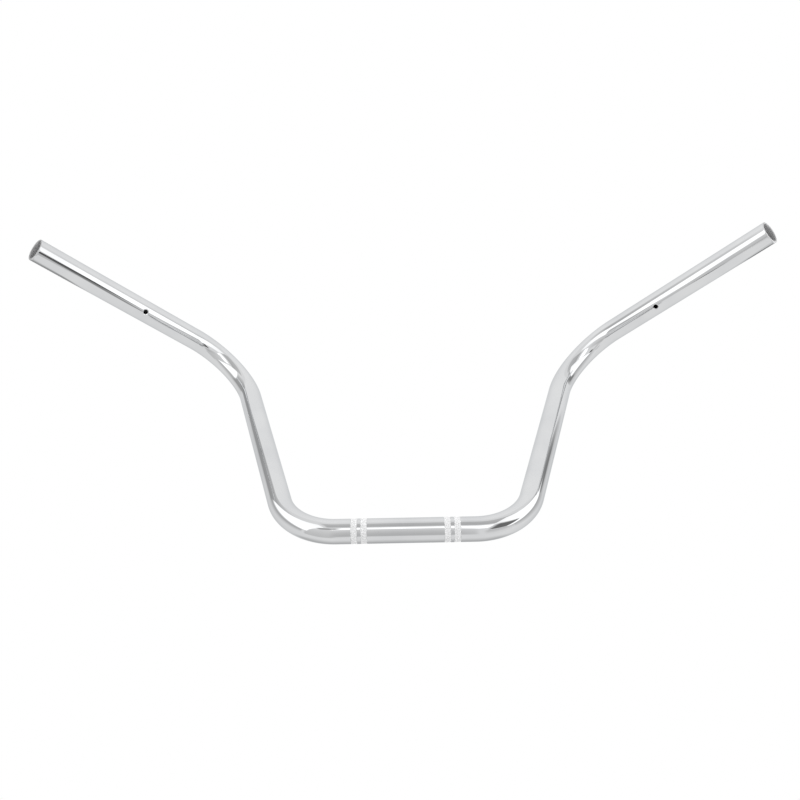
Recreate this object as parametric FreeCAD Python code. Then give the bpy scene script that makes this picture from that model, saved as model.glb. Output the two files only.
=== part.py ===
import FreeCAD, Part
import math
import os

# Motorcycle handlebar: one steel tube bent to shape, with knurled clamp seats, two
# switch-pin holes and open ends. Millimetres and degrees.
# The origin is the middle of the clamp section, on the tube's axis. +X is the rider's right,
# +Y is forward and +Z is up. The uprights stand in the XZ plane and the grips come back
# towards the rider.

# Tube
tube_od = 25.4
tube_wall = 2.0
end_break = 0.5

# Clamp section: two pairs of knurled bands, one pair under each clamp
clamp_spacing = 93.4
knurl_band = 6.4
knurl_gap = 3.5
clamp_margin = 15.3
knurl_teeth = 20
knurl_depth = 0.5
knurl_sink = 0.05

# Uprights
lower_bend_radius = 63.5
upright_splay = 16.0
upright_straight = 197.6

# Grips: swept back out of the plane of the uprights, and drooping as seen from the front
upper_bend_radius = 70.0
grip_sweep = 45.0
grip_droop = 21.0
perch_run = 65.5

# Switch-pin holes: distance from the tube's end, and angle from straight down towards the rider
pin_hole_diameter = 5.5
left_pin_from_end = 138.0
right_pin_from_end = 148.0
left_pin_angle = 33.0
right_pin_angle = 20.0

# Sizes that follow
tube_radius = tube_od / 2
bore_radius = tube_radius - tube_wall
knurl_pair = 2 * knurl_band + knurl_gap
clamp_straight = clamp_spacing + knurl_pair + 2 * clamp_margin
grip_straight = max(left_pin_from_end, right_pin_from_end) + perch_run
rim_break = min(end_break, 0.35 * tube_wall)

ORIGIN = FreeCAD.Vector(0, 0, 0)
RIGHT = FreeCAD.Vector(1, 0, 0)
UP = FreeCAD.Vector(0, 0, 1)


def direction(x, y, z):
    """Unit vector along x, y, z."""
    return FreeCAD.Vector(x, y, z).normalize()


def upright_direction():
    """Direction of the right upright, going up."""
    splay = math.radians(upright_splay)
    return direction(math.sin(splay), 0, math.cos(splay))


def grip_direction():
    """Direction of the right grip, going out to its end."""
    sweep = math.radians(grip_sweep)
    droop = math.radians(grip_droop)
    in_plane = math.cos(sweep)
    return direction(in_plane * math.cos(droop), -math.sin(sweep), -in_plane * math.sin(droop))


class Bender:
    """Feeds a tube section along its path, straight by straight and bend by bend."""

    def __init__(self, start, heading, seam):
        """Puts the tube's section at start, square to heading, with its weld seam towards seam."""
        self.point = start
        self.heading = heading
        self.section = self.ring(seam)
        self.runs = []

    def ring(self, seam):
        """Ring-shaped section of the tube at the present point."""
        wires = []
        for radius in (tube_radius, bore_radius):
            circle = Part.Circle(self.point, self.heading, radius)
            circle.XAxis = seam
            wires.append(Part.Wire(circle.toShape()))
        return Part.makeFace(wires, "Part::FaceMakerBullseye")

    def straight(self, length):
        """Feeds a straight run of the given length."""
        feed = self.heading * length
        self.runs.append(self.section.extrude(feed))
        self.section = self.section.translated(feed)
        self.point = self.point + feed

    def bend(self, radius, heading):
        """Bends the tube to the new heading, on the given centre-line radius, seam inwards."""
        axis = self.heading.cross(heading).normalize()
        turn = math.degrees(self.heading.getAngle(heading))
        inwards = axis.cross(self.heading)
        centre = self.point + inwards * radius
        self.section = self.ring(inwards)
        self.runs.append(self.section.revolve(centre, axis, turn))
        self.section = self.section.rotated(centre, axis, turn)
        self.point = centre + FreeCAD.Rotation(axis, turn).multVec(self.point - centre)
        self.heading = heading

    def tube(self):
        """The runs joined into one tube."""
        return self.runs[0].multiFuse(self.runs[1:]).removeSplitter()


def bend_right_half():
    """Right half of the bar, with the end point and outward direction of its grip."""
    bender = Bender(ORIGIN, RIGHT, UP)
    bender.straight(clamp_straight / 2)
    bender.bend(lower_bend_radius, upright_direction())
    bender.straight(upright_straight)
    bender.bend(upper_bend_radius, grip_direction())
    bender.straight(grip_straight)
    return bender.tube(), bender.point, bender.heading


def mirrored(vector):
    """The same point or direction on the left side."""
    return FreeCAD.Vector(-vector.x, vector.y, vector.z)


def on_plane(vertex, point, normal):
    """Whether a vertex lies on the plane through point."""
    return abs((vertex.Point - point).dot(normal)) < 1e-4


def break_end_edge(bar, end, outward):
    """Chamfers the outer edge of one open end."""
    rims = [edge for edge in bar.Edges if all(on_plane(vertex, end, outward) for vertex in edge.Vertexes)]
    rims = [edge for edge in rims if abs(edge.Vertexes[0].Point.distanceToPoint(end) - tube_radius) < 1e-4]
    return bar.makeChamfer(rim_break, rims)


def pin_hole(end, outward, from_end, angle):
    """Drill for one switch-pin hole, from the bore out through the rider's side of the wall."""
    below = outward * UP.dot(outward) - UP
    below = below.normalize()
    behind = outward.cross(below)
    if behind.y > 0:
        behind = behind * -1
    turn = math.radians(angle)
    drill = below * math.cos(turn) + behind * math.sin(turn)
    centre = end - outward * from_end
    return Part.makeCylinder(pin_hole_diameter / 2, tube_od, centre, drill)


def knurl_roll(band_start):
    """What the knurling takes off round the band that starts at x = band_start."""
    crest = tube_radius - knurl_sink
    corners = []
    for step in range(2 * knurl_teeth):
        radius = crest - knurl_depth * (step % 2)
        turn = math.pi * step / knurl_teeth
        corners.append(FreeCAD.Vector(band_start, radius * math.sin(turn), radius * math.cos(turn)))
    teeth = Part.makePolygon(corners + corners[:1])
    around = Part.Wire(Part.makeCircle(tube_radius + knurl_depth, RIGHT * band_start, RIGHT))
    profile = Part.makeFace([around, teeth], "Part::FaceMakerBullseye")
    return profile.extrude(RIGHT * knurl_band)


def knurl_band_starts():
    """Where each knurled band starts along X, from left to right."""
    starts = []
    for clamp in (-clamp_spacing / 2, clamp_spacing / 2):
        starts.append(clamp - knurl_pair / 2)
        starts.append(clamp + knurl_gap / 2)
    return starts


def make_handlebar():
    """The whole bar."""
    right_half, right_end, right_out = bend_right_half()
    left_half = right_half.mirror(ORIGIN, RIGHT)
    left_end = mirrored(right_end)
    left_out = mirrored(right_out)
    bar = right_half.fuse(left_half).removeSplitter()
    bar = break_end_edge(bar, right_end, right_out)
    bar = break_end_edge(bar, left_end, left_out)
    holes = [
        pin_hole(left_end, left_out, left_pin_from_end, left_pin_angle),
        pin_hole(right_end, right_out, right_pin_from_end, right_pin_angle),
    ]
    bar = bar.cut(holes)
    bar = bar.cut([knurl_roll(band_start) for band_start in knurl_band_starts()])
    return bar.Solids[0]


handlebar = make_handlebar()
os.makedirs("parts", exist_ok=True)
handlebar.exportStep("parts/handlebar.step")
print("solid valid:", handlebar.isValid(), "faces:", len(handlebar.Faces))
print("volume mm3:", round(handlebar.Volume, 1), "box:", handlebar.BoundBox)
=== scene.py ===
"""Chromed handlebar: a bent tube with knurled clamp bands, pin holes and open ends, in a white studio."""

import logging
import math
from dataclasses import dataclass, field, fields
from enum import Enum, IntEnum

import bmesh
import bpy
from mathutils import Matrix, Vector

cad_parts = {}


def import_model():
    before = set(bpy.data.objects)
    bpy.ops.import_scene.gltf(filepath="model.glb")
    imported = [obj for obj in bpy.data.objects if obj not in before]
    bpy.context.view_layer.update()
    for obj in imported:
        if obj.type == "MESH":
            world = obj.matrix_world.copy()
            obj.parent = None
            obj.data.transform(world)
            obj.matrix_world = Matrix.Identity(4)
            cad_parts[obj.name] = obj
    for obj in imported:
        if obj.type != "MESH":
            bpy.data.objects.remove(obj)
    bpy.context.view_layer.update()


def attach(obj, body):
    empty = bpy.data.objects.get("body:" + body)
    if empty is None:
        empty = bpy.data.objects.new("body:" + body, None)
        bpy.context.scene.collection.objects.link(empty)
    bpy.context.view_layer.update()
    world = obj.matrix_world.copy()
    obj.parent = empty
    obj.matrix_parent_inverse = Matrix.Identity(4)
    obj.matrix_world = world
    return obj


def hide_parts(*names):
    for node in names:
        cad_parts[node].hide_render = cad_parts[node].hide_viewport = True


LOG = logging.getLogger("handlebar")

ORIGIN = Vector((0.0, 0.0, 0.0))
RIGHT = Vector((1.0, 0.0, 0.0))
UP = Vector((0.0, 0.0, 1.0))

# Red, green and blue, and the two ends of a range
Colour = tuple[float, float, float]
Span = tuple[float, float]


class Coat(IntEnum):
    """Material slots of the bar."""

    CHROME = 0
    KNURL = 1
    BARE = 2


class Side(Enum):
    """The two ends of the bar, with their sign along X."""

    LEFT = -1
    RIGHT = 1


def place_mesh(bm: bmesh.types.BMesh, name: str) -> bpy.types.Object:
    """Makes an object of a mesh and puts it in the scene.

    Args:
        bm: the mesh, which is freed.
        name: name of the object.

    Returns:
        The object, at the origin.
    """
    mesh = bpy.data.meshes.new(name)
    bm.to_mesh(mesh)
    bm.free()
    made = bpy.data.objects.new(name, mesh)
    bpy.context.scene.collection.objects.link(made)
    return made


def node_material(name: str) -> tuple[bpy.types.Material, bpy.types.NodeTree, bpy.types.Node]:
    """Starts a node material.

    Args:
        name: name of the material.

    Returns:
        The material, its node tree and its Principled shader.
    """
    material = bpy.data.materials.new(name)
    material.use_nodes = True
    tree = material.node_tree
    return material, tree, tree.nodes["Principled BSDF"]


def map_range(
    tree: bpy.types.NodeTree, value: bpy.types.NodeSocket, span: Span, result: Span
) -> bpy.types.NodeSocket:
    """Maps a value from one range smoothly on to another.

    Args:
        tree: node tree to add to.
        value: socket to map.
        span: start and end of the value's range.
        result: what they become.

    Returns:
        The mapped value's socket.
    """
    node = tree.nodes.new("ShaderNodeMapRange")
    node.interpolation_type = "SMOOTHSTEP"
    node.inputs["From Min"].default_value, node.inputs["From Max"].default_value = span
    node.inputs["To Min"].default_value, node.inputs["To Max"].default_value = result
    tree.links.new(value, node.inputs["Value"])
    return node.outputs["Result"]


def colour_ramp(
    tree: bpy.types.NodeTree, value: bpy.types.NodeSocket, span: Span, low: Colour, high: Colour
) -> bpy.types.NodeSocket:
    """Colours a value.

    Args:
        tree: node tree to add to.
        value: socket that picks the colour.
        span: values at which the two colours are reached.
        low: colour at the lower value.
        high: colour at the higher value.

    Returns:
        The colour socket.
    """
    ramp = tree.nodes.new("ShaderNodeValToRGB")
    for stop, position, colour in zip(ramp.color_ramp.elements, span, (low, high)):
        stop.position = position
        stop.color = (*colour, 1.0)
    tree.links.new(value, ramp.inputs["Fac"])
    return ramp.outputs["Color"]


def add_bump(
    tree: bpy.types.NodeTree, shader: bpy.types.Node, height: bpy.types.NodeSocket, depth: float
) -> None:
    """Gives a shader a fine relief.

    Args:
        tree: node tree to add to.
        shader: shader that takes the relief.
        height: relief, from 0 to 1.
        depth: depth of the relief in metres.
    """
    bump = tree.nodes.new("ShaderNodeBump")
    bump.inputs["Strength"].default_value = 1.0
    bump.inputs["Distance"].default_value = depth
    tree.links.new(height, bump.inputs["Height"])
    tree.links.new(bump.outputs["Normal"], shader.inputs["Normal"])


@dataclass(frozen=True)
class Grain:
    """Noise that is fixed to a piece: its scale per metre, its octaves and its scale along X, Y and Z."""

    scale: float
    detail: float
    stretch: tuple[float, float, float] = (1.0, 1.0, 1.0)

    def add(self, tree: bpy.types.NodeTree) -> bpy.types.NodeSocket:
        """Adds the noise to a material.

        Args:
            tree: node tree to add to.

        Returns:
            The noise's value socket.
        """
        coords = tree.nodes.new("ShaderNodeTexCoord")
        mapping = tree.nodes.new("ShaderNodeMapping")
        mapping.inputs["Scale"].default_value = self.stretch
        noise = tree.nodes.new("ShaderNodeTexNoise")
        noise.inputs["Scale"].default_value = self.scale
        noise.inputs["Detail"].default_value = self.detail
        tree.links.new(coords.outputs["Object"], mapping.inputs["Vector"])
        tree.links.new(mapping.outputs["Vector"], noise.inputs["Vector"])
        return noise.outputs["Fac"]


@dataclass(frozen=True)
class PolishedChrome:
    """Bright chrome plate over polished steel."""

    clean: Colour = (0.67, 0.675, 0.68)
    hazy: Colour = (0.62, 0.627, 0.637)
    edge_tint: tuple[float, float, float, float] = (0.72, 0.73, 0.74, 1.0)
    haze: Grain = Grain(scale=22.0, detail=4.0)
    haze_span: Span = (0.35, 0.7)
    rub: Grain = Grain(scale=120.0, detail=2.0, stretch=(0.25, 1.0, 1.0))
    rub_span: Span = (0.4, 0.7)
    rub_roughness: Span = (0.04, 0.06)
    ripple: Grain = Grain(scale=45.0, detail=1.0)
    ripple_depth: float = 0.00003

    def material(self) -> bpy.types.Material:
        """Builds the material.

        Returns:
            Chrome with a faint haze, rub marks and a slight ripple.
        """
        material, tree, shader = node_material("polished_chrome")
        shader.inputs["Metallic"].default_value = 1.0
        shader.inputs["Specular Tint"].default_value = self.edge_tint
        colour = colour_ramp(tree, self.haze.add(tree), self.haze_span, self.clean, self.hazy)
        tree.links.new(colour, shader.inputs["Base Color"])
        roughness = map_range(tree, self.rub.add(tree), self.rub_span, self.rub_roughness)
        tree.links.new(roughness, shader.inputs["Roughness"])
        add_bump(tree, shader, self.ripple.add(tree), self.ripple_depth)
        return material


@dataclass(frozen=True)
class FrostedKnurl:
    """Plated knurl, which scatters the light."""

    crest: Colour = (0.89, 0.892, 0.895)
    root: Colour = (0.82, 0.822, 0.826)
    grain: Grain = Grain(scale=2600.0, detail=2.0)
    colour_span: Span = (0.3, 0.65)
    rough_span: Span = (0.3, 0.7)
    roughness: Span = (0.72, 0.58)
    grain_depth: float = 0.00001

    def material(self) -> bpy.types.Material:
        """Builds the material.

        Returns:
            Rough chrome with a fine grain.
        """
        material, tree, shader = node_material("frosted_knurl")
        shader.inputs["Metallic"].default_value = 1.0
        grain = self.grain.add(tree)
        colour = colour_ramp(tree, grain, self.colour_span, self.root, self.crest)
        tree.links.new(colour, shader.inputs["Base Color"])
        tree.links.new(map_range(tree, grain, self.rough_span, self.roughness), shader.inputs["Roughness"])
        add_bump(tree, shader, grain, self.grain_depth)
        return material


@dataclass(frozen=True)
class BareSteel:
    """Unplated steel of the bore and the cut rims, with a thin grey film."""

    film: Colour = (0.50, 0.50, 0.505)
    steel: Colour = (0.56, 0.56, 0.565)
    metallic: float = 0.7
    blotch: Grain = Grain(scale=110.0, detail=3.0)
    colour_span: Span = (0.35, 0.7)
    rough_span: Span = (0.3, 0.7)
    roughness: Span = (0.6, 0.5)

    def material(self) -> bpy.types.Material:
        """Builds the material.

        Returns:
            Dull grey steel with blotches.
        """
        material, tree, shader = node_material("bare_steel")
        shader.inputs["Metallic"].default_value = self.metallic
        blotch = self.blotch.add(tree)
        colour = colour_ramp(tree, blotch, self.colour_span, self.film, self.steel)
        tree.links.new(colour, shader.inputs["Base Color"])
        tree.links.new(map_range(tree, blotch, self.rough_span, self.roughness), shader.inputs["Roughness"])
        return material


@dataclass(frozen=True)
class PaleFloor:
    """Plain pale floor paint."""

    pale: Colour = (0.86, 0.86, 0.855)
    shade: float = 0.985
    patch: Grain = Grain(scale=0.8, detail=2.0)
    patch_span: Span = (0.3, 0.7)
    roughness: float = 0.9
    specular: float = 0.1

    def material(self) -> bpy.types.Material:
        """Builds the material.

        Returns:
            Matt paint with large, very faint patches.
        """
        material, tree, shader = node_material("pale_floor")
        shader.inputs["Roughness"].default_value = self.roughness
        shader.inputs["Specular IOR Level"].default_value = self.specular
        darker = tuple(value * self.shade for value in self.pale)
        colour = colour_ramp(tree, self.patch.add(tree), self.patch_span, darker, self.pale)
        tree.links.new(colour, shader.inputs["Base Color"])
        return material


class TubeBender:
    """Feeds a ring of edges along a path, straight by straight and bend by bend."""

    def __init__(self, bm: bmesh.types.BMesh, radius: float, segments: int, coat: Coat) -> None:
        """Puts the ring at the origin, square to +X.

        Args:
            bm: mesh that takes the tube.
            radius: radius of the ring.
            segments: number of edges round it.
            coat: material of its faces.
        """
        self.bm = bm
        self.coat = coat
        self.point = ORIGIN.copy()
        self.heading = RIGHT.copy()
        turn = Matrix.Rotation(math.radians(90.0), 4, "Y")
        ring = bmesh.ops.create_circle(bm, cap_ends=False, radius=radius, segments=segments, matrix=turn)
        self.edges = self.ring_of(ring["verts"])

    @staticmethod
    def ring_of(verts: list[bmesh.types.BMVert]) -> list[bmesh.types.BMEdge]:
        """Finds the edges that join vertices to each other.

        Args:
            verts: the vertices.

        Returns:
            Their edges, in the same order each time.
        """
        inside = set(verts)
        near = dict.fromkeys(edge for vert in verts for edge in vert.link_edges)
        return [edge for edge in near if inside.issuperset(edge.verts)]

    def verts(self) -> list[bmesh.types.BMVert]:
        """The vertices of the present ring."""
        return list(dict.fromkeys(vert for edge in self.edges for vert in edge.verts))

    @staticmethod
    def _paint(faces: set[bmesh.types.BMFace], coat: Coat) -> None:
        """Gives new faces their coat and smooth shading.

        Args:
            faces: the new faces.
            coat: their material.
        """
        for face in faces:
            face.material_index = int(coat)
            face.smooth = True

    def feed(self, length: float, grow: float = 1.0, coat: Coat | None = None) -> None:
        """Feeds the ring straight on.

        Args:
            length: length of the run.
            grow: how many times wider the ring is at the end of it.
            coat: material of the run, if it isn't the tube's own.
        """
        grown = bmesh.ops.extrude_edge_only(self.bm, edges=self.edges)["geom"]
        verts = [item for item in grown if isinstance(item, bmesh.types.BMVert)]
        faces = {item for item in grown if isinstance(item, bmesh.types.BMFace)}
        self._paint(faces, self.coat if coat is None else coat)
        bmesh.ops.translate(self.bm, verts=verts, vec=self.heading * length)
        self.point = self.point + self.heading * length
        if grow != 1.0:
            space = Matrix.Translation(-self.point)
            bmesh.ops.scale(self.bm, verts=verts, vec=Vector((grow, grow, grow)), space=space)
        self.edges = self.ring_of(verts)

    def run(self, length: float, lead: float) -> None:
        """Feeds a straight run with a short lead at each end, which keeps its shading straight.

        Args:
            length: length of the whole run.
            lead: length of each lead.
        """
        self.feed(lead)
        self.feed(length - 2.0 * lead)
        self.feed(lead)

    def bend(self, radius: float, heading: Vector, step: float) -> None:
        """Bends the tube to a new heading.

        Args:
            radius: centre-line radius of the bend.
            heading: direction after it.
            step: largest angle of a facet, in degrees.
        """
        axis = self.heading.cross(heading).normalized()
        turn = self.heading.angle(heading)
        centre = self.point + axis.cross(self.heading) * radius
        before = set(self.bm.faces)
        spun = bmesh.ops.spin(
            self.bm,
            geom=self.verts() + self.edges,
            cent=centre,
            axis=axis,
            dvec=ORIGIN,
            angle=turn,
            space=Matrix.Identity(4),
            steps=math.ceil(math.degrees(turn) / step),
            use_merge=False,
            use_normal_flip=False,
            use_duplicate=False,
        )["geom_last"]
        self._paint(set(self.bm.faces) - before, self.coat)
        self.edges = self.ring_of([item for item in spun if isinstance(item, bmesh.types.BMVert)])
        self.point = centre + Matrix.Rotation(turn, 3, axis) @ (self.point - centre)
        self.heading = heading.copy()


@dataclass
class PinHole:
    """A hole for a switch housing's pin.

    It is measured from the tube's end, and its angle is from straight down towards the rider.
    """

    side: Side
    from_end: float
    angle: float


@dataclass
class Handlebar:
    """The bar: one tube, bent, knurled and drilled. Metres and degrees.

    The drill zone, where both pin holes are, is measured from the tube's end.
    """

    tube_radius: float = 0.0127
    bore_radius: float = 0.0107
    clamp_spacing: float = 0.0934
    knurl_band: float = 0.0064
    knurl_gap: float = 0.0035
    clamp_margin: float = 0.0153
    knurl_rows: int = 12
    knurl_depth: float = 0.0002
    knurl_sink: float = 0.00008
    lower_bend_radius: float = 0.0635
    upright_splay: float = 16.0
    upright_straight: float = 0.1976
    upper_bend_radius: float = 0.070
    grip_sweep: float = 45.0
    grip_droop: float = 21.0
    grip_straight: float = 0.2135
    end_break: float = 0.0005
    end_break_segments: int = 3
    rim_angle: float = 60.0
    rim_reach: float = 0.00002
    rim_weld: float = 0.00005
    seam_weld: float = 0.000001
    hole_radius: float = 0.00275
    hole_edge: float = 0.0009
    hole_dish: float = 0.0005
    hole_segments: int = 40
    holes: list[PinHole] = field(
        default_factory=lambda: [PinHole(Side.LEFT, 0.138, 33.0), PinHole(Side.RIGHT, 0.148, 20.0)]
    )
    drill_zone: Span = (0.156, 0.130)
    drill_rings: int = 10
    segments: int = 144
    bend_step: float = 2.0
    lead: float = 0.002
    sharp_angle: float = 28.0

    def clamp_half(self) -> float:
        """Length of the clamp section from the middle of the bar to the lower bend."""
        return self.clamp_spacing / 2.0 + self.knurl_band + self.knurl_gap / 2.0 + self.clamp_margin

    def upright_direction(self) -> Vector:
        """Direction of the right upright, going up."""
        splay = math.radians(self.upright_splay)
        return Vector((math.sin(splay), 0.0, math.cos(splay)))

    def grip_direction(self) -> Vector:
        """Works out which way the right grip points.

        Returns:
            Its direction, going out to its end.
        """
        sweep, droop = math.radians(self.grip_sweep), math.radians(self.grip_droop)
        flat = math.cos(sweep)
        return Vector((flat * math.cos(droop), -math.sin(sweep), -flat * math.sin(droop)))

    def right_end(self) -> Vector:
        """Works out where the right grip ends, from the corners that the bends round off.

        Returns:
            The middle of the open end.
        """
        up, grip = self.upright_direction(), self.grip_direction()
        low = self.lower_bend_radius * math.tan(RIGHT.angle(up) / 2.0)
        high = self.upper_bend_radius * math.tan(up.angle(grip) / 2.0)
        corner = RIGHT * (self.clamp_half() + low) + up * (low + self.upright_straight + high)
        return corner + grip * (high + self.grip_straight)

    def _knurl(self, bender: TubeBender) -> None:
        """Feeds one knurled band: a step down, rows of faces for the teeth and a step up.

        Args:
            bender: bender that stands at the start of the band.
        """
        floor = (self.tube_radius - self.knurl_depth - self.knurl_sink) / self.tube_radius
        bender.feed(0.0, grow=floor)
        for _ in range(self.knurl_rows):
            bender.feed(self.knurl_band / self.knurl_rows, coat=Coat.KNURL)
        bender.feed(0.0, grow=1.0 / floor)

    def _clamp_run(self, bender: TubeBender) -> None:
        """Feeds the right half of the clamp section, with its pair of knurled bands.

        Args:
            bender: bender that stands at the middle of the bar.
        """
        pair = 2.0 * self.knurl_band + self.knurl_gap
        bender.feed(self.clamp_spacing / 2.0 - pair / 2.0)
        self._knurl(bender)
        bender.feed(self.knurl_gap)
        self._knurl(bender)
        bender.feed(self.clamp_margin - self.lead)
        bender.feed(self.lead)

    def _grip_run(self, bender: TubeBender) -> None:
        """Feeds the grip, with close rings where the pin holes go and a short lead at each end.

        Args:
            bender: bender that stands at the end of the upper bend.
        """
        start, stop = self.drill_zone
        bender.feed(self.lead)
        bender.feed(self.grip_straight - self.lead - start)
        for _ in range(self.drill_rings):
            bender.feed((start - stop) / self.drill_rings)
        bender.feed(stop - self.lead)
        bender.feed(self.lead)

    def _wall(self, bm: bmesh.types.BMesh, radius: float, coat: Coat) -> TubeBender:
        """Feeds one wall of the right half.

        Args:
            bm: mesh that takes the wall.
            radius: radius of the wall.
            coat: its material.

        Returns:
            The bender, at the open end.
        """
        bender = TubeBender(bm, radius, self.segments, coat)
        if coat is Coat.CHROME:
            self._clamp_run(bender)
        else:
            bender.feed(self.clamp_half())
        bender.bend(self.lower_bend_radius, self.upright_direction(), self.bend_step)
        bender.run(self.upright_straight, self.lead)
        bender.bend(self.upper_bend_radius, self.grip_direction(), self.bend_step)
        self._grip_run(bender)
        return bender

    def _close_end(self, bm: bmesh.types.BMesh, outer: TubeBender, inner: TubeBender) -> None:
        """Closes the rim between the two walls with bare steel and breaks its edges.

        Args:
            bm: mesh with both walls.
            outer: bender of the outer wall, at the end.
            inner: bender of the bore's wall, at the end.
        """
        outer.feed(0.0, grow=self.bore_radius / self.tube_radius, coat=Coat.BARE)
        bmesh.ops.remove_doubles(bm, verts=outer.verts() + inner.verts(), dist=self.rim_weld)
        bm.normal_update()
        bmesh.ops.recalc_face_normals(bm, faces=bm.faces[:])
        end, outward = outer.point, outer.heading
        at_end = {vert for vert in bm.verts if abs((vert.co - end).dot(outward)) < self.rim_reach}
        around = [edge for edge in bm.edges if at_end.issuperset(edge.verts)]
        bmesh.ops.bevel(
            bm,
            geom=[edge for edge in around if edge.calc_face_angle(0.0) > math.radians(self.rim_angle)],
            offset=self.end_break,
            offset_type="OFFSET",
            segments=self.end_break_segments,
            profile=0.5,
            affect="EDGES",
            material=-1,
        )

    def _bent_tube(self) -> bpy.types.Object:
        """Bends the tube and rolls its knurl.

        Returns:
            The bar without its holes.
        """
        bm = bmesh.new()
        outer = self._wall(bm, self.tube_radius, Coat.CHROME)
        inner = self._wall(bm, self.bore_radius, Coat.BARE)
        LOG.info("right end at %.4f, %.4f, %.4f", *outer.point)
        self._close_end(bm, outer, inner)
        half = bm.verts[:] + bm.edges[:] + bm.faces[:]
        bmesh.ops.mirror(bm, geom=half, axis="X", merge_dist=self.seam_weld)
        bmesh.ops.remove_doubles(bm, verts=bm.verts[:], dist=self.seam_weld)
        bmesh.ops.recalc_face_normals(bm, faces=bm.faces[:])
        teeth = [face for face in bm.faces if face.material_index == int(Coat.KNURL)]
        poked = bmesh.ops.poke(
            bm, faces=teeth, offset=self.knurl_depth, center_mode="MEAN", use_relative_offset=False
        )["faces"]
        for face in poked:
            face.smooth = False
        return place_mesh(bm, "handlebar_chrome")

    def _hole_place(self, hole: PinHole, end: Vector, outward: Vector) -> tuple[Vector, Vector]:
        """Works out where a pin hole is drilled.

        Args:
            hole: the hole.
            end: middle of that end of the bar.
            outward: direction of that grip.

        Returns:
            A point on the tube's axis and the direction of the drill.
        """
        below = (outward * UP.dot(outward) - UP).normalized()
        behind = outward.cross(below)
        if behind.y > 0.0:
            behind.negate()
        turn = math.radians(hole.angle)
        return end - outward * hole.from_end, below * math.cos(turn) + behind * math.sin(turn)

    def _drill(self, hole: PinHole) -> bpy.types.Object:
        """Makes the drill for one pin hole, with a flare that leaves a polished edge round it.

        Args:
            hole: the hole.

        Returns:
            The drill's object.
        """
        flip = Vector((hole.side.value, 1.0, 1.0))
        outward = self.grip_direction() * flip
        start, along = self._hole_place(hole, self.right_end() * flip, outward)
        tip = self.bore_radius - self.hole_radius
        bm = bmesh.new()
        bender = TubeBender(bm, self.hole_radius, self.hole_segments, Coat.CHROME)
        bender.feed(self.tube_radius - self.hole_dish - tip)
        # The flare goes on outside the tube as far as it does inside, and all of it follows the tube's curve.
        bender.feed(2.0 * self.hole_dish, grow=1.0 + 2.0 * self.hole_edge / self.hole_radius)
        for vert in bm.verts:
            vert.co.x += math.sqrt(self.tube_radius**2 - vert.co.z**2) - self.tube_radius
        bmesh.ops.holes_fill(bm, edges=[edge for edge in bm.edges if edge.is_boundary], sides=0)
        bmesh.ops.recalc_face_normals(bm, faces=bm.faces[:])
        turn = Matrix((along, outward, along.cross(outward))).transposed().to_4x4()
        place = Matrix.Translation(start + along * tip) @ turn
        bmesh.ops.transform(bm, matrix=place, verts=bm.verts[:])
        return place_mesh(bm, "drill")

    def build(self) -> bpy.types.Object:
        """Builds the bar and drills it.

        Returns:
            The bar's object, at the origin.
        """
        bar = self._bent_tube()
        for finish in (PolishedChrome(), FrostedKnurl(), BareSteel()):
            bar.data.materials.append(finish.material())
        drills = [self._drill(hole) for hole in self.holes]
        for drill in drills:
            cut = bar.modifiers.new("pin_hole", "BOOLEAN")
            cut.operation = "DIFFERENCE"
            cut.solver = "EXACT"
            cut.object = drill
        graph = bpy.context.evaluated_depsgraph_get()
        drilled = bpy.data.meshes.new_from_object(bar.evaluated_get(graph))
        bar.modifiers.clear()
        bar.data = drilled
        for drill in drills:
            bpy.data.objects.remove(drill, do_unlink=True)
        bar.data.set_sharp_from_angle(angle=math.radians(self.sharp_angle))
        return bar

    def dress(self, bar: bpy.types.Object) -> None:
        """Puts the bar in place of its solid.

        Args:
            bar: the bar's object.
        """
        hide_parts("handlebar")
        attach(bar, "root")


class Wall(Enum):
    """Walls of the light tent: the direction that each is set out in, then its directions across and along.

    The bar lies on its front in the tent, so height is towards -Y and the camera is on the -Z side.
    """

    SIDE = ((1.0, 0.0, 0.0), (0.0, 0.0, 1.0), (0.0, -1.0, 0.0))
    FLAT = ((0.0, -1.0, 0.0), (1.0, 0.0, 0.0), (0.0, 0.0, 1.0))
    END = ((0.0, 0.0, 1.0), (1.0, 0.0, 0.0), (0.0, -1.0, 0.0))


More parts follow.
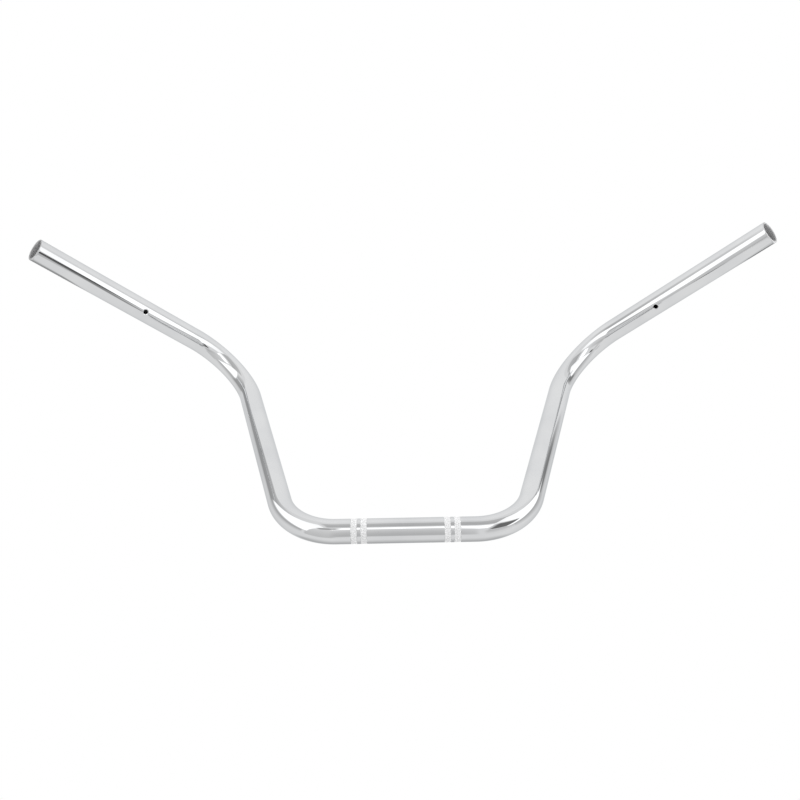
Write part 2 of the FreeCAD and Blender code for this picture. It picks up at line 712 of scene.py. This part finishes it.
@dataclass(frozen=True)
class TentPanel:
    """A lit or grey panel of the light tent, which shows in the chrome.

    It is out metres from the origin, covers the spans across and along its wall, and its light runs
    from the first value to the second along it. Its edges fade over the width of the feather.
    """

    wall: Wall
    out: float
    across: Span
    along: Span
    light: Span
    feather: float = 0.1

    @staticmethod
    def _position(tree: bpy.types.NodeTree, axis: tuple[float, float, float]) -> bpy.types.NodeSocket:
        """Adds the place on the panel, measured along an axis.

        Args:
            tree: node tree to add to.
            axis: direction to measure in.

        Returns:
            The distance from the origin, in metres.
        """
        coords = tree.nodes.new("ShaderNodeTexCoord")
        place = tree.nodes.new("ShaderNodeVectorMath")
        place.operation = "DOT_PRODUCT"
        place.inputs[1].default_value = axis
        tree.links.new(coords.outputs["Object"], place.inputs[0])
        return place.outputs["Value"]

    def _fade(
        self, tree: bpy.types.NodeTree, place: bpy.types.NodeSocket, span: Span
    ) -> bpy.types.NodeSocket:
        """Fades the panel out at two opposite edges.

        Args:
            tree: node tree to add to.
            place: place on the panel.
            span: where the two edges are.

        Returns:
            1 on the panel and 0 outside it.
        """
        away = tree.nodes.new("ShaderNodeMath")
        away.operation = "SUBTRACT"
        away.inputs[1].default_value = sum(span) / 2.0
        apart = tree.nodes.new("ShaderNodeMath")
        apart.operation = "ABSOLUTE"
        tree.links.new(place, away.inputs[0])
        tree.links.new(away.outputs["Value"], apart.inputs[0])
        half = (span[1] - span[0]) / 2.0
        soft = self.feather / 2.0
        return map_range(tree, apart.outputs["Value"], (half - soft, half + soft), (1.0, 0.0))

    def _material(self, name: str) -> bpy.types.Material:
        """Builds the panel's material.

        Args:
            name: name of the material.

        Returns:
            Plain light with soft edges.
        """
        material = bpy.data.materials.new(name)
        material.use_nodes = True
        tree = material.node_tree
        tree.nodes.clear()
        _, across_axis, along_axis = self.wall.value
        across = self._position(tree, across_axis)
        along = self._position(tree, along_axis)
        glow = tree.nodes.new("ShaderNodeEmission")
        clear = tree.nodes.new("ShaderNodeBsdfTransparent")
        cover = tree.nodes.new("ShaderNodeMath")
        cover.operation = "MULTIPLY"
        mix = tree.nodes.new("ShaderNodeMixShader")
        output = tree.nodes.new("ShaderNodeOutputMaterial")
        tree.links.new(map_range(tree, along, self.along, self.light), glow.inputs["Strength"])
        tree.links.new(self._fade(tree, across, self.across), cover.inputs[0])
        tree.links.new(self._fade(tree, along, self.along), cover.inputs[1])
        tree.links.new(cover.outputs["Value"], mix.inputs["Fac"])
        tree.links.new(clear.outputs["BSDF"], mix.inputs[1])
        tree.links.new(glow.outputs["Emission"], mix.inputs[2])
        tree.links.new(mix.outputs["Shader"], output.inputs["Surface"])
        return material

    def build(self, name: str) -> None:
        """Builds the panel, as a part of the stage that only the metal shows.

        Args:
            name: name of the panel.
        """
        facing, across, along = (Vector(axis) for axis in self.wall.value)
        middle = facing * self.out + across * sum(self.across) / 2.0 + along * sum(self.along) / 2.0
        width = self.across[1] - self.across[0] + self.feather
        height = self.along[1] - self.along[0] + self.feather
        stretch = Matrix((across * width, along * height, facing)).transposed().to_4x4()
        place = Matrix.Translation(middle) @ stretch
        bm = bmesh.new()
        bmesh.ops.create_grid(bm, x_segments=1, y_segments=1, size=0.5, matrix=place)
        panel = place_mesh(bm, name)
        panel.data.materials.append(self._material(name))
        panel.visible_camera = False
        panel.visible_diffuse = False
        panel.visible_shadow = False


@dataclass
class LightTent:
    """The panels round the bar, placed where the chrome mirrors them in the photograph."""

    # White soft boxes beside the grips, grey skirts under them and dark strips on their far side
    softbox_left: TentPanel = TentPanel(
        Wall.SIDE, out=-0.435, across=(-0.33, 0.22), along=(0.15, 1.35), light=(1.65, 1.45), feather=0.03
    )
    softbox_right: TentPanel = TentPanel(
        Wall.SIDE, out=0.46, across=(-0.32, 0.29), along=(0.115, 1.0), light=(1.65, 1.45), feather=0.03
    )
    skirt_left: TentPanel = TentPanel(
        Wall.SIDE, out=-0.495, across=(-0.3, 0.42), along=(-0.065, 0.135), light=(0.95, 0.55), feather=0.04
    )
    skirt_right: TentPanel = TentPanel(
        Wall.SIDE, out=0.51, across=(-0.3, 0.43), along=(-0.175, 0.225), light=(1.05, 0.45), feather=0.04
    )
    far_strip_left: TentPanel = TentPanel(
        Wall.SIDE, out=-0.44, across=(0.22, 0.5), along=(0.035, 0.64), light=(0.45, 0.85), feather=0.05
    )
    far_strip_right: TentPanel = TentPanel(
        Wall.SIDE, out=0.47, across=(0.26, 0.36), along=(0.03, 0.65), light=(0.3, 0.85), feather=0.05
    )
    # Small dark flags close to the lower bends, and a pale reflector low on the right
    dark_flag_right: TentPanel = TentPanel(
        Wall.FLAT, out=0.05, across=(0.11, 0.19), along=(-0.08, -0.015), light=(0.2, 0.2), feather=0.015
    )
    dark_flag_left: TentPanel = TentPanel(
        Wall.FLAT, out=0.05, across=(-0.105, -0.07), along=(-0.03, -0.02), light=(0.3, 0.3), feather=0.01
    )
    reflector: TentPanel = TentPanel(
        Wall.END, out=-0.235, across=(0.145, 0.5), along=(-0.075, 0.11), light=(1.0, 0.75), feather=0.04
    )
    # Grey ceiling, and the white panel that gives the clamp section its highlight
    ceiling: TentPanel = TentPanel(
        Wall.FLAT, out=1.85, across=(-0.45, 1.05), along=(-0.3, 0.8), light=(0.6, 0.7)
    )
    panel_over_camera: TentPanel = TentPanel(
        Wall.FLAT, out=1.4, across=(-0.33, 0.65), along=(-1.3, -0.45), light=(1.85, 1.85)
    )
    # Walls on the camera's side, the far wall, and the table under the clamp section, whose light falls off
    # towards the bar as a painted contact shadow
    camera_side: TentPanel = TentPanel(
        Wall.END, out=-0.48, across=(-0.155, 0.1), along=(-0.045, 0.8), light=(0.65, 0.95)
    )
    left_corner: TentPanel = TentPanel(
        Wall.END, out=-0.67, across=(-0.85, -0.14), along=(-0.2, 1.0), light=(0.75, 0.9)
    )
    dark_corner: TentPanel = TentPanel(
        Wall.END, out=-0.88, across=(0.42, 1.65), along=(-0.275, 0.4), light=(0.45, 0.05)
    )
    far_wall: TentPanel = TentPanel(
        Wall.END, out=0.9, across=(-1.0, 1.5), along=(-0.5, 1.1), light=(1.1, 1.1), feather=0.2
    )
    # The table's light runs from 0.9 down to 0.6 towards the bar: a painted contact shadow under the clamp
    # section, which only the chrome mirrors
    table_shadow: TentPanel = TentPanel(
        Wall.FLAT, out=-0.055, across=(-0.145, 0.125), along=(-0.06, 0.005), light=(0.9, 0.6), feather=0.04
    )

    def build(self) -> None:
        """Builds every panel."""
        for panel in fields(self):
            getattr(self, panel.name).build(panel.name)
            LOG.info("tent panel %s", panel.name)


@dataclass
class Studio:
    """White room, pale floor, light tent and camera. Metres, with the sensor's width in millimetres."""

    ambient: float = 0.95
    floor_height: float = -0.9
    floor_radius: float = 14.0
    floor_segments: int = 96
    camera_place: Vector = field(default_factory=lambda: Vector((0.01107, -0.65853, -0.69877)))
    camera_forward: Vector = field(default_factory=lambda: Vector((-0.0148, 0.5804, 0.8142)))
    camera_up: Vector = field(default_factory=lambda: Vector((0.0212, -0.8139, 0.5806)))
    focal_pixels: float = 950.0
    image_pixels: float = 800.0
    sensor_width: float = 36.0
    camera_reach: Span = (0.01, 100.0)

    @staticmethod
    def _white_light(tree: bpy.types.NodeTree, strength: float) -> bpy.types.NodeSocket:
        """Adds a white background.

        Args:
            tree: node tree to add to.
            strength: its strength.

        Returns:
            The background's shader socket.
        """
        light = tree.nodes.new("ShaderNodeBackground")
        light.inputs["Color"].default_value = (1.0, 1.0, 1.0, 1.0)
        light.inputs["Strength"].default_value = strength
        return light.outputs["Background"]

    def build_world(self) -> None:
        """Sets a white background, which the metal shows too, and a softer white that lights the bar."""
        world = bpy.data.worlds.new("white_room")
        bpy.context.scene.world = world
        world.use_nodes = True
        tree = world.node_tree
        tree.nodes.clear()
        path = tree.nodes.new("ShaderNodeLightPath")
        seen = tree.nodes.new("ShaderNodeMath")
        seen.operation = "MAXIMUM"
        shown = tree.nodes.new("ShaderNodeMath")
        shown.operation = "MAXIMUM"
        mix = tree.nodes.new("ShaderNodeMixShader")
        output = tree.nodes.new("ShaderNodeOutputWorld")
        tree.links.new(path.outputs["Is Camera Ray"], seen.inputs[0])
        tree.links.new(path.outputs["Is Glossy Ray"], seen.inputs[1])
        tree.links.new(seen.outputs["Value"], shown.inputs[0])
        tree.links.new(path.outputs["Is Transmission Ray"], shown.inputs[1])
        tree.links.new(shown.outputs["Value"], mix.inputs["Fac"])
        tree.links.new(self._white_light(tree, self.ambient), mix.inputs[1])
        tree.links.new(self._white_light(tree, 1.0), mix.inputs[2])
        tree.links.new(mix.outputs["Shader"], output.inputs["Surface"])

    def build_floor(self) -> None:
        """Lays a plain pale floor under the bar and the camera."""
        bm = bmesh.new()
        place = Matrix.Translation(UP * self.floor_height)
        bmesh.ops.create_circle(
            bm, cap_ends=True, segments=self.floor_segments, radius=self.floor_radius, matrix=place
        )
        floor = place_mesh(bm, "floor")
        floor.data.materials.append(PaleFloor().material())
        floor.visible_glossy = False

    def build_camera(self) -> None:
        """Places the camera where the photograph was taken from."""
        data = bpy.data.cameras.new("camera")
        data.sensor_fit = "HORIZONTAL"
        data.sensor_width = self.sensor_width
        data.lens = self.sensor_width * self.focal_pixels / self.image_pixels
        data.clip_start, data.clip_end = self.camera_reach
        back = -self.camera_forward.normalized()
        side = self.camera_up.cross(back).normalized()
        turn = Matrix((side, back.cross(side), back)).transposed()
        camera = bpy.data.objects.new("camera", data)
        camera.matrix_world = Matrix.Translation(self.camera_place) @ turn.to_4x4()
        bpy.context.scene.collection.objects.link(camera)
        bpy.context.scene.camera = camera

    def build(self) -> None:
        """Builds the studio round the bar."""
        bpy.context.scene.view_settings.view_transform = "Standard"
        self.build_world()
        self.build_floor()
        LightTent().build()
        self.build_camera()


def main() -> None:
    """Loads the frame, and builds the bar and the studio."""
    logging.basicConfig(level=logging.INFO, format="%(name)s: %(message)s")
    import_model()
    handlebar = Handlebar()
    bar = handlebar.build()
    handlebar.dress(bar)
    LOG.info("%s has %d faces", bar.name, len(bar.data.polygons))
    Studio().build()


if __name__ == "__main__":
    main()
